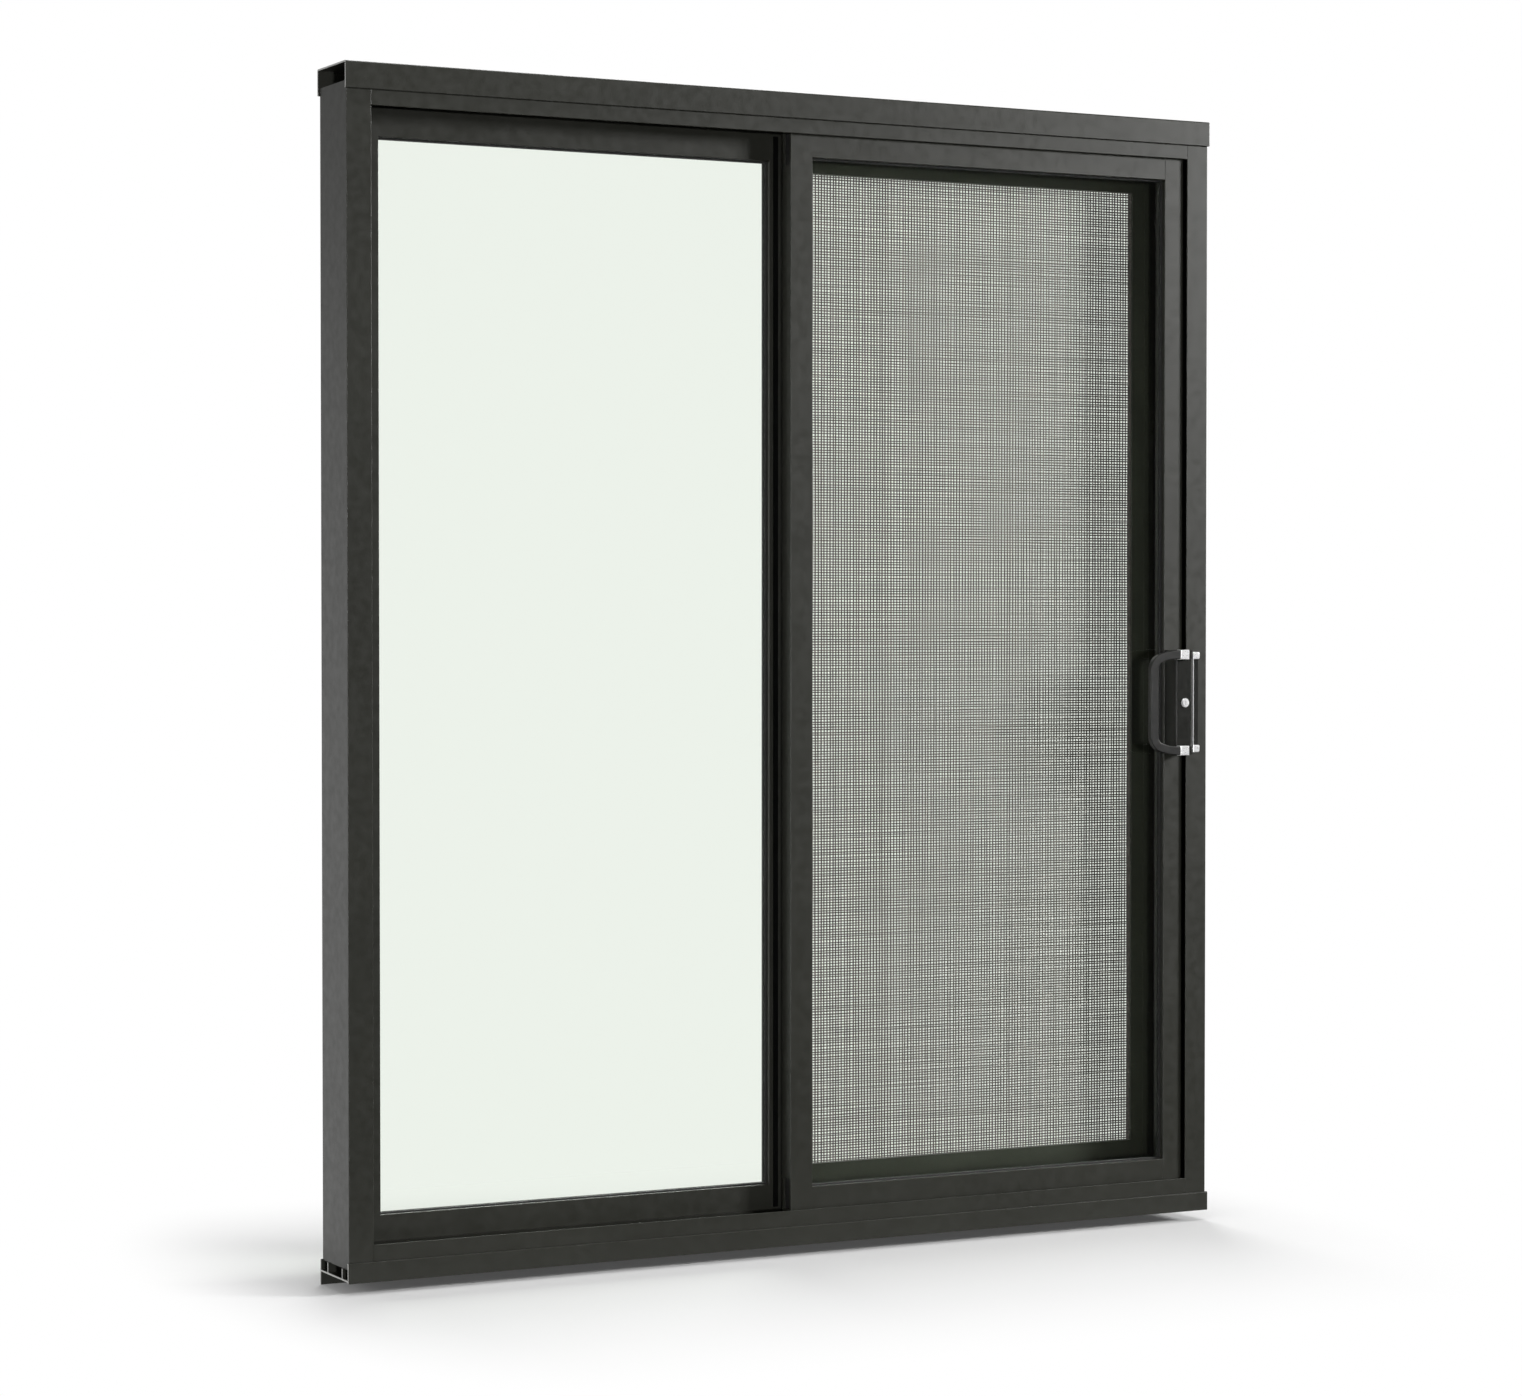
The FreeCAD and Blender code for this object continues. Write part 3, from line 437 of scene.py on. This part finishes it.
@dataclass(frozen=True)
class DullSkin:
    """A skin with little gloss, such as rubber, nylon, enamel, pile or coated yarn."""

    name: str
    dark: Colour
    light: Colour
    rough: Span
    grains: float = 900.0
    bump: float = 0.2
    shine: float = 0.5
    cloud: Pattern = Pattern(30.0, 3.0)
    sheen: Pattern = Pattern(120.0)
    grain_depth: float = 0.0001

    def make(self) -> bpy.types.Material:
        """Builds the skin: uneven colour and gloss over a fine grain."""
        shade = Shading(self.name)
        body = shade.surface(Specular_IOR_Level=self.shine)
        cloud = shade.spread(shade.noise(self.cloud), WHOLE)
        shade.put(shade.blend(cloud, self.dark, self.light), body.inputs["Base Color"])
        gloss = shade.spread(shade.noise(self.sheen), self.rough)
        shade.put(gloss, body.inputs["Roughness"])
        grain = shade.noise(Pattern(self.grains))
        bumps = Relief(self.bump, self.grain_depth)
        shade.put(shade.relief(grain, bumps), body.inputs["Normal"])
        return shade.material


@dataclass(frozen=True)
class BrightMetal:
    """Polished or brushed metal, with faint marks along its grain."""

    name: str
    dark: Colour
    light: Colour
    rough: Span
    metal: float = 0.6
    haze: Pattern = Pattern(90.0)
    marks: Pattern = Pattern(600.0)
    mark_relief: Relief = Relief(0.05, 0.00005)

    def make(self) -> bpy.types.Material:
        """Builds the metal: marks in the gloss and a light haze."""
        shade = Shading(self.name)
        body = shade.surface(Metallic=self.metal)
        haze = shade.spread(shade.noise(self.haze), WHOLE)
        shade.put(shade.blend(haze, self.dark, self.light), body.inputs["Base Color"])
        marks = shade.noise(self.marks)
        shade.put(shade.spread(marks, self.rough), body.inputs["Roughness"])
        shade.put(shade.relief(marks, self.mark_relief), body.inputs["Normal"])
        return shade.material


FINISHES = {
    Look.COAT: PowderCoat(),
    Look.CUT_COAT: PowderCoat(name="powder_coat_sawn_ends", sawn_at=0.9078),
    Look.PANE: FloatGlass(),
    Look.SEAL: DullSkin(
        "glazing_gasket_rubber",
        dark=(0.008, 0.008, 0.008),
        light=(0.014, 0.014, 0.013),
        rough=(0.55, 0.7),
    ),
    Look.SPLINE: DullSkin(
        "screen_spline_vinyl",
        dark=(0.06, 0.062, 0.05),
        light=(0.085, 0.085, 0.07),
        rough=(0.5, 0.65),
    ),
    # The interlock pile is a real weatherstrip, but its colour is set near-perfect black with
    # almost no gloss. This paints the shade of the interlock channel: partly the pile's own black,
    # partly painted shade.
    Look.PILE_AS_PAINTED_SHADE: DullSkin(
        "black_pile_and_painted_shade",
        dark=(0.0015, 0.0015, 0.0015),
        light=(0.003, 0.003, 0.003),
        rough=(0.85, 0.95),
        grains=1800.0,
        bump=0.6,
        shine=0.05,
    ),
    Look.CHROME: BrightMetal(
        "polished_chrome",
        dark=(0.94, 0.94, 0.94),
        light=(0.97, 0.97, 0.97),
        rough=(0.26, 0.34),
    ),
    Look.GRIP: DullSkin(
        "satin_grip_coat",
        dark=(0.015, 0.015, 0.0145),
        light=(0.02, 0.02, 0.019),
        rough=(0.32, 0.4),
        grains=1600.0,
        bump=0.12,
        shine=0.4,
    ),
    Look.LOCK: DullSkin(
        "black_lock_coat",
        dark=(0.0066, 0.0068, 0.0052),
        light=(0.0096, 0.0098, 0.0078),
        rough=(0.3, 0.38),
        grains=1300.0,
        bump=0.15,
        shine=0.25,
    ),
    Look.STEEL: BrightMetal(
        "zinc_plated_steel",
        dark=(0.7, 0.7, 0.69),
        light=(0.85, 0.85, 0.84),
        rough=(0.3, 0.42),
        marks=Pattern(600.0, stretch=(1.0, 1.0, 0.1)),
    ),
    Look.NYLON: DullSkin(
        "black_nylon",
        dark=(0.012, 0.012, 0.012),
        light=(0.018, 0.018, 0.018),
        rough=(0.4, 0.55),
    ),
    Look.YARN: DullSkin(
        "coated_screen_yarn",
        dark=(0.055, 0.042, 0.044),
        light=(0.09, 0.07, 0.07),
        rough=(0.5, 0.65),
        grains=2200.0,
    ),
}


class Finishes:
    """Makes each finish once, and gives it to pieces."""

    def __init__(self) -> None:
        """Starts with no finish made."""
        self.made: dict[Look, bpy.types.Material] = {}

    def material(self, look: Look) -> bpy.types.Material:
        """The material of a finish, built the first time that it is asked for.

        Args:
            look: the finish.

        Returns:
            Its material.
        """
        if look not in self.made:
            self.made[look] = FINISHES[look].make()
        return self.made[look]

    def dress(self, piece: bpy.types.Object, look: Look) -> None:
        """Gives a piece one finish all over.

        Args:
            piece: the piece.
            look: its finish.
        """
        piece.data.materials.clear()
        piece.data.materials.append(self.material(look))
        for face in piece.data.polygons:
            face.material_index = 0


@dataclass
class Assembly:
    """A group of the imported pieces, with the finish of each."""

    name: str
    looks: dict[str, Look]

    def build(self, nodes: dict[str, bpy.types.Object], finishes: Finishes) -> None:
        """Dresses each piece of the group.

        Args:
            nodes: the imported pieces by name.
            finishes: the finishes.
        """
        for node, look in self.looks.items():
            finishes.dress(nodes[node], look)
            LOG.info("%s: %s in %s", self.name, node, look.value)


@dataclass
class OuterFrame(Assembly):
    """The fixed frame in its head receptor and sub sill."""

    name: str = "outer frame"
    looks: dict[str, Look] = field(
        default_factory=lambda: {
            "head_receptor": Look.CUT_COAT,
            "sub_sill": Look.CUT_COAT,
            "frame_head": Look.COAT,
            "frame_sill": Look.COAT,
            "left_jamb": Look.COAT,
            "right_jamb": Look.COAT,
            "interlock_strip": Look.COAT,
            "interlock_pile": Look.PILE_AS_PAINTED_SHADE,
        }
    )


@dataclass
class FixedPanel(Assembly):
    """The fixed glazed panel."""

    name: str = "fixed panel"
    looks: dict[str, Look] = field(
        default_factory=lambda: {
            "fixed_top_rail": Look.COAT,
            "fixed_bottom_rail": Look.COAT,
            "fixed_left_stile": Look.COAT,
            "fixed_right_stile": Look.COAT,
            "fixed_glass": Look.PANE,
            "fixed_gasket": Look.SEAL,
        }
    )


@dataclass
class SlidingSash(Assembly):
    """The glazed sash that slides, with its rollers and guides."""

    name: str = "sliding sash"
    looks: dict[str, Look] = field(
        default_factory=lambda: {
            "sash_top_rail": Look.COAT,
            "sash_bottom_rail": Look.COAT,
            "sash_left_stile": Look.COAT,
            "sash_right_stile": Look.COAT,
            "sash_glass": Look.PANE,
            "sash_gasket": Look.SEAL,
            "sash_top_guides": Look.NYLON,
            "sash_rollers": Look.NYLON,
            "sash_end_guides": Look.STEEL,
            "sash_end_blocks": Look.NYLON,
        }
    )


@dataclass
class LockSet(Assembly):
    """The lock, its pull and the strike on the jamb."""

    name: str = "lock set"
    looks: dict[str, Look] = field(
        default_factory=lambda: {
            "lock_housing": Look.LOCK,
            "lock_cylinder": Look.CHROME,
            "lock_plug": Look.CHROME,
            "pull_handle": Look.GRIP,
            "pull_top_collar": Look.CHROME,
            "pull_bottom_collar": Look.CHROME,
            "strike_plate": Look.LOCK,
            "strike_edge": Look.CHROME,
            "strike_top_cap": Look.CHROME,
            "strike_bottom_cap": Look.CHROME,
        }
    )


@dataclass(frozen=True)
class ThreadSet:
    """One set of parallel threads of the screen cloth.

    The layer is the distance of the threads from the cloth's middle, the steps are the pieces
    that each thread is cut into, and the seed starts the set's random numbers.
    """

    run: Run
    count: int
    width: float
    thickness: float
    layer: float
    steps: int
    seed: int


@dataclass(frozen=True)
class Layout:
    """Where a set of threads lies in the cloth.

    Along and across are the indexes of the axes that the threads run along and are spread along,
    low and high the cloth's corners, first the middle of the first thread, and pitch the
    distance between threads.
    """

    along: int
    across: int
    low: Vector
    high: Vector
    first: Vector
    pitch: float

    @property
    def length(self) -> float:
        """The length of a thread."""
        return self.high[self.along] - self.low[self.along]


@dataclass
class InsectScreen(Assembly):
    """The insect screen: its tube frame, its spline and the woven cloth."""

    name: str = "insect screen"
    looks: dict[str, Look] = field(
        default_factory=lambda: {
            "screen_top_rail": Look.COAT,
            "screen_bottom_rail": Look.COAT,
            "screen_left_stile": Look.COAT,
            "screen_right_stile": Look.COAT,
            "screen_spline": Look.SPLINE,
            "screen_rollers": Look.NYLON,
        }
    )
    cloth_node: str = "screen_mesh"
    spacing_jitter: float = 0.07
    drift_kept: float = 0.4
    width_jitter: float = 0.1
    wander: float = 0.00045
    wander_rate: Span = (6.0, 16.0)
    smooth_under: float = 20.0
    thread_sets: tuple[ThreadSet, ...] = (
        ThreadSet(
            Run.UP, count=120, width=0.0030, thickness=0.00034, layer=0.00019, steps=20, seed=11
        ),
        ThreadSet(
            Run.ACROSS, count=372, width=0.0025, thickness=0.00034, layer=-0.00019, steps=9, seed=23
        ),
    )

    def build(self, nodes: dict[str, bpy.types.Object], finishes: Finishes) -> None:
        """Dresses the frame and weaves the cloth in it.

        Args:
            nodes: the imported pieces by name.
            finishes: the finishes.
        """
        super().build(nodes, finishes)
        cloth = self.weave()
        finishes.dress(cloth, Look.YARN)
        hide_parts(self.cloth_node)
        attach(cloth, "screen")
        LOG.info("%s: %s with %d faces", self.name, cloth.name, len(cloth.data.polygons))

    def weave(self) -> bpy.types.Object:
        """Makes every thread of the cloth and joins them into one piece.

        Returns:
            The cloth.
        """
        made = [self.threads(one) for one in self.thread_sets]
        bpy.ops.object.select_all(action="DESELECT")
        for one in made:
            one.select_set(True)
        bpy.context.view_layer.objects.active = made[0]
        bpy.ops.object.join()
        cloth = bpy.context.object
        cloth.name = "screen_cloth"
        cloth.data.name = cloth.name
        return cloth

    def threads(self, one: ThreadSet) -> bpy.types.Object:
        """Models one thread, copies it across the opening and unsettles the copies.

        Args:
            one: the set's sizes.

        Returns:
            All the threads of the set as one object.
        """
        layout = self.layout(one)
        thread = self.first_thread(one, layout)
        repeat = thread.modifiers.new("copies", "ARRAY")
        repeat.count = one.count
        repeat.use_relative_offset = False
        repeat.use_constant_offset = True
        shift = Vector()
        shift[layout.across] = layout.pitch
        repeat.constant_offset_displace = shift
        bpy.ops.object.modifier_apply(modifier=repeat.name)
        bpy.ops.object.transform_apply(location=True, rotation=False, scale=False)
        self.unsettle(thread, one, layout)
        bpy.ops.object.shade_smooth_by_angle(angle=math.radians(self.smooth_under))
        return thread

    def layout(self, one: ThreadSet) -> Layout:
        """Works out where a set of threads lies in the cloth.

        Args:
            one: the set's sizes.

        Returns:
            The set's layout.
        """
        low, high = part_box(self.cloth_node)
        along, across = (2, 0) if one.run is Run.UP else (0, 2)
        pitch = (high[across] - low[across]) / (one.count + 1)
        first = (low + high) / 2
        first[across] = low[across] + pitch
        first[1] += one.layer
        return Layout(along, across, low, high, first, pitch)

    def first_thread(self, one: ThreadSet, layout: Layout) -> bpy.types.Object:
        """Models the first thread as a flat four-sided bar, cut so that it can wander.

        Args:
            one: the set's sizes.
            layout: the set's place in the cloth.

        Returns:
            The thread.
        """
        turn = (0, 0, 0) if one.run is Run.UP else (0, math.pi / 2, 0)
        bpy.ops.object.select_all(action="DESELECT")
        bpy.ops.mesh.primitive_cylinder_add(
            vertices=4,
            radius=0.5,
            depth=1,
            end_fill_type="NOTHING",
            location=layout.first,
            rotation=turn,
        )
        thread = bpy.context.object
        thread.scale = (one.width, one.thickness, layout.length)
        bpy.ops.object.transform_apply(location=False, rotation=True, scale=True)
        bpy.ops.object.mode_set(mode="EDIT")
        normal = Vector()
        normal[layout.along] = 1.0
        for step in range(1, one.steps):
            cut = Vector()
            cut[layout.along] = layout.low[layout.along] + layout.length * step / one.steps
            bpy.ops.mesh.select_all(action="SELECT")
            bpy.ops.mesh.bisect(plane_co=cut, plane_no=normal)
        bpy.ops.object.mode_set(mode="OBJECT")
        return thread

    def unsettle(self, thread: bpy.types.Object, one: ThreadSet, layout: Layout) -> None:
        """Moves each thread a little and lets it wander, so that the weave is uneven.

        Args:
            thread: the set's object.
            one: the set's sizes.
            layout: the set's place in the cloth.
        """
        dice = random.Random(one.seed)
        shifts, widths, phases = [], [], []
        drift = 0.0
        for _ in range(one.count):
            nudge = dice.uniform(-1, 1) * self.spacing_jitter * layout.pitch
            drift = self.drift_kept * drift + nudge
            shifts.append(drift)
            widths.append(1 + dice.uniform(-1, 1) * self.width_jitter)
            phases.append((dice.uniform(0, math.tau), dice.uniform(*self.wander_rate)))
        across, along = layout.across, layout.along
        lowest = layout.low[across] + one.width
        highest = layout.high[across] - one.width
        for vertex in thread.data.vertices:
            index = round((vertex.co[across] - layout.first[across]) / layout.pitch)
            centre = layout.first[across] + index * layout.pitch
            phase, waves = phases[index]
            bow = self.wander * math.sin(phase + waves * vertex.co[along])
            place = centre + shifts[index] + bow
            place += (vertex.co[across] - centre) * widths[index]
            vertex.co[across] = min(max(place, lowest), highest)


@dataclass(frozen=True)
class Lamp:
    """A soft rectangular lamp: its place, the point it faces, its sides and its watts."""

    name: str
    place: Point
    target: Point
    sides: Span
    power: float

    def build(self) -> None:
        """Adds the lamp to the scene."""
        data = bpy.data.lights.new(self.name, "AREA")
        data.shape = "RECTANGLE"
        data.size, data.size_y = self.sides
        data.energy = self.power
        lamp = bpy.data.objects.new(self.name, data)
        bpy.context.scene.collection.objects.link(lamp)
        lamp.location = self.place
        aim = Vector(self.target) - Vector(self.place)
        lamp.rotation_euler = aim.to_track_quat("-Z", "Y").to_euler()


@dataclass
class Studio:
    """The floor, the white surroundings and the lamps.

    Gloss sees the surroundings white on the far side, up to the height called high, and nearly
    black on the room side. The floor is grey near the door and fades to white further out.
    """

    floor_level: float = -0.024
    floor_size: float = 60.0
    floor_grey: float = 0.77
    floor_glow: float = 0.05
    floor_gloss: float = 0.1
    floor_turn: float = 0.8
    foot: Point = (0.8, 0.05, 0.0)
    fade_rate: Point = (2.4, 1.0, 0.0)
    fade: Span = (0.05, 1.0)
    ambient: float = 0.05
    room_gloss: float = 0.02
    high_gloss: float = 0.15
    high: float = 0.2
    gloss_from: Point = (-0.6, 0.8, 0.0)
    world_turn: float = 0.3
    turn_start: float = -0.2
    lamps: tuple[Lamp, ...] = (
        Lamp("right_strip_lamp", (9.0, -5.2, 3.92), (0.4, 0.0, 1.5), (2.0, 2.4), 1275),
        Lamp("front_lamp", (-5.22, -19.2, 1.1), (0.2, 0.0, 1.0), (0.6, 0.6), 1360),
        Lamp("left_lamp", (-5.2, -1.6, 1.2), (0.0, 0.0, 0.9), (2.2, 2.2), 60),
        Lamp("overhead_lamp", (0.0, -0.8, 6.0), (0.0, -0.8, 0.0), (3.0, 3.0), 150),
        Lamp("back_lamp", (2.2, 5.6, 4.6), (0.0, 0.0, 1.0), (3.0, 3.0), 240),
    )

    def build(self) -> None:
        """Sets up the surroundings, the floor and the lamps."""
        self.surroundings()
        self.floor()
        for lamp in self.lamps:
            lamp.build()
            LOG.info("studio: %s at %s", lamp.name, lamp.place)

    def surroundings(self) -> None:
        """White all round, with a dim room side as gloss and a softer level as light."""
        world = bpy.data.worlds.new("white_studio")
        bpy.context.scene.world = world
        world.use_nodes = True
        graph = Graph(world.node_tree, "ShaderNodeOutputWorld", "Generated")
        glow = graph.node("ShaderNodeBackground")
        glow.inputs["Color"].default_value = (1, 1, 1, 1)
        graph.put(self.level(graph, self.world_turn), glow.inputs["Strength"])
        graph.put(glow.outputs["Background"], graph.output.inputs["Surface"])

    def level(self, graph: Graph, turn: float) -> Socket:
        """How bright the white surroundings are for each kind of ray.

        Args:
            graph: the node tree, whose place tells the room side from the far side and how
                high a point is.
            turn: how far towards the far side the gloss becomes fully white.

        Returns:
            1 as seen or through glass. As gloss it is white low on the far side, softer high
            up there and nearly black on the room side. As light it is the ambient level.
        """
        height = graph.coordinate(graph.place, "Z")
        far = graph.ramp(height, (0.0, self.high), (1.0, self.high_gloss))
        facing = graph.vectors("DOT_PRODUCT", graph.place, self.gloss_from)["Value"]
        side = graph.ramp(facing, (self.turn_start * turn, turn), (self.room_gloss, far))
        reflected = self.reflected(graph)
        rays = graph.rays()
        direct = graph.calculate("MAXIMUM", rays["Is Camera Ray"], rays["Is Transmission Ray"])
        unbounced = graph.calculate("SUBTRACT", 1.0, reflected)
        seen = graph.calculate("MULTIPLY", direct, unbounced)
        gloss = graph.calculate("MULTIPLY", reflected, side)
        bright = graph.calculate("ADD", seen, gloss)
        lights = graph.calculate("MAXIMUM", seen, reflected)
        dim = graph.calculate("SUBTRACT", 1.0, lights)
        ambient = graph.calculate("MULTIPLY", dim, self.ambient)
        return graph.calculate("ADD", bright, ambient)

    def reflected(self, graph: Graph) -> Socket:
        """Tells the rays that a gloss has turned back from those that passed through glass.

        Args:
            graph: the node tree.

        Returns:
            1 for the rays that a gloss has turned back, and 0 for the rest.
        """
        rays = graph.rays()
        bounced = graph.calculate("MINIMUM", rays["Glossy Depth"], 1.0)
        return graph.calculate("MULTIPLY", rays["Is Glossy Ray"], bounced)

    def floor(self) -> None:
        """Lays a pale floor that takes the door's shadow and fades to white further out."""
        bpy.ops.object.select_all(action="DESELECT")
        bpy.ops.mesh.primitive_plane_add(size=self.floor_size, location=(0, 0, self.floor_level))
        ground = bpy.context.object
        ground.name = "studio_floor"
        ground.data.materials.append(self.floor_finish())

    def floor_finish(self) -> bpy.types.Material:
        """Builds the floor's finish: matt near the door, and the surroundings' white further out.

        Returns:
            The material.
        """
        shade = Shading("pale_floor")
        white_level = self.level(shade, self.floor_turn)
        matt = shade.node("ShaderNodeBsdfDiffuse")
        shade.put(self.floor_tone(shade), matt.inputs["Color"])
        haze_level = shade.calculate("MULTIPLY", white_level, self.floor_glow)
        near = shade.node("ShaderNodeAddShader")
        shade.put(matt.outputs["BSDF"], near.inputs[0])
        shade.put(shade.glow(haze_level), near.inputs[1])
        share = shade.ramp(self.distance_from_foot(shade), self.fade, WHOLE)
        mixed = shade.choose(share, near.outputs["Shader"], shade.glow(white_level))
        shade.put(mixed, shade.output.inputs["Surface"])
        return shade.material

    def floor_tone(self, graph: Graph) -> Socket:
        """The floor's grey, which gloss sees darker on the room side.

        Args:
            graph: the floor's node tree.

        Returns:
            The grey.
        """
        depth = graph.coordinate(graph.place, "Y")
        turn = (-self.floor_turn, self.floor_turn)
        loss = graph.ramp(depth, turn, (1 - self.floor_gloss, 0.0))
        dimmed = graph.calculate("MULTIPLY", self.reflected(graph), loss)
        kept = graph.calculate("SUBTRACT", 1.0, dimmed)
        return graph.calculate("MULTIPLY", kept, self.floor_grey)

    def distance_from_foot(self, graph: Graph) -> Socket:
        """How far a point of the floor is from the door's foot, counted faster sideways.

        Args:
            graph: the floor's node tree.

        Returns:
            The distance.
        """
        origin = (0.0, 0.0, 0.0)
        folded = graph.vectors("ABSOLUTE", graph.place, origin)["Vector"]
        outside = graph.vectors("SUBTRACT", folded, self.foot)["Vector"]
        clipped = graph.vectors("MAXIMUM", outside, origin)["Vector"]
        paced = graph.vectors("MULTIPLY", clipped, self.fade_rate)["Vector"]
        return graph.vectors("LENGTH", paced, origin)["Value"]


@dataclass(frozen=True)
class Camera:
    """The camera, at the photograph's place and angle."""

    place: Point = (-3.3250, -6.2746, 1.1748)
    tilt: float = 88.743
    heading: float = -27.537
    focal: float = 89.33
    sensor: float = 36.0

    def build(self) -> None:
        """Makes the camera the scene's own."""
        data = bpy.data.cameras.new("front_camera")
        data.lens = self.focal
        data.sensor_width = self.sensor
        camera = bpy.data.objects.new("front_camera", data)
        bpy.context.scene.collection.objects.link(camera)
        camera.location = self.place
        camera.rotation_euler = (math.radians(self.tilt), 0.0, math.radians(self.heading))
        bpy.context.scene.camera = camera


def main() -> None:
    """Builds the door's looks, the studio and the camera."""
    logging.basicConfig(level=logging.INFO, format="%(name)s %(message)s")
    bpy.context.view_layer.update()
    bpy.context.scene.view_settings.view_transform = "Standard"
    finishes = Finishes()
    for assembly in (OuterFrame(), FixedPanel(), SlidingSash(), InsectScreen(), LockSet()):
        assembly.build(frame["nodes"], finishes)
    Studio().build()
    Camera().build()


if __name__ == "__main__":
    main()
